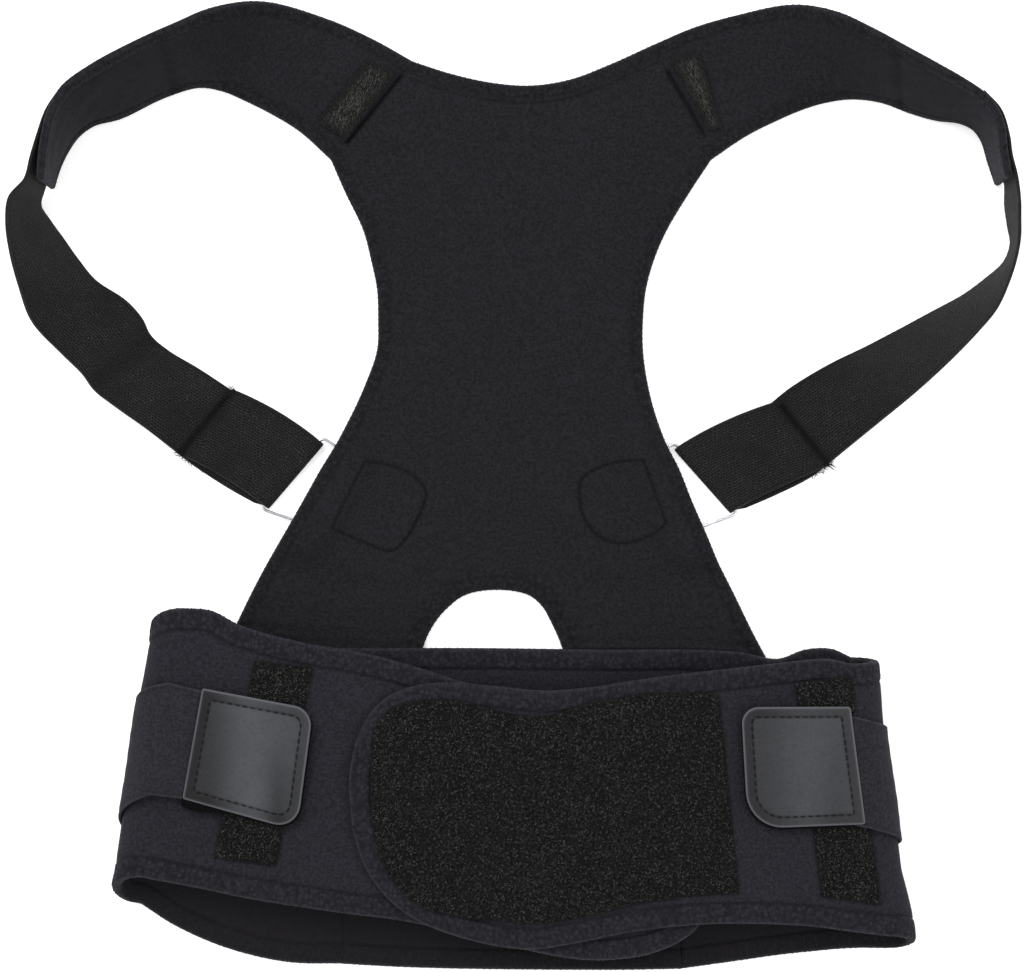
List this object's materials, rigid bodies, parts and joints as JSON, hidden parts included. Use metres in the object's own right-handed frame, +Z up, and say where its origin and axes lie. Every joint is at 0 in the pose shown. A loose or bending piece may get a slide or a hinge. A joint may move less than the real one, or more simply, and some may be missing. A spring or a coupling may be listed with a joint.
{
  "type": "posture corrector",
  "caption": "Back and shoulder posture brace lying flat: padded straps, elastic straps on wire rings, back panel and a closed waist belt.",
  "frame": {"origin": "centre of the footprint, on the surface that it lies on", "axes": "+Z up from the surface, +Y from the waist belt to the neck, +X to the right as seen from above"},
  "size_m": [0.4801, 0.4626, 0.0461],
  "materials": {
    "neoprene": "laminated neoprene with a fine knit face, near-black with a bluish cast",
    "elastic_webbing": "woven elastic webbing, near-black",
    "loop_pile": "brushed loop pile, black",
    "leatherette": "dark grey leatherette with a slight sheen",
    "ring_wire": "bright nickel-plated wire"
  },
  "bodies": {
    "root": {"back_panel": "neoprene", "shoulder_strap_left": "neoprene", "shoulder_strap_right": "neoprene", "shoulder_patch_left": "loop_pile", "shoulder_patch_right": "loop_pile", "elastic_strap_left": "elastic_webbing", "elastic_strap_right": "elastic_webbing", "strap_ring_left": "ring_wire", "strap_ring_right": "ring_wire", "ring_tab_left": "neoprene", "ring_tab_right": "neoprene", "belt_back": "neoprene", "belt_wing_left": "neoprene", "belt_wing_right": "neoprene", "closure_patch": "loop_pile", "wing_patch_left": "loop_pile", "wing_patch_right": "loop_pile", "side_band_left": "elastic_webbing", "side_band_right": "elastic_webbing", "band_tab_left": "leatherette", "band_tab_right": "leatherette"}
  },
  "joints": []
}
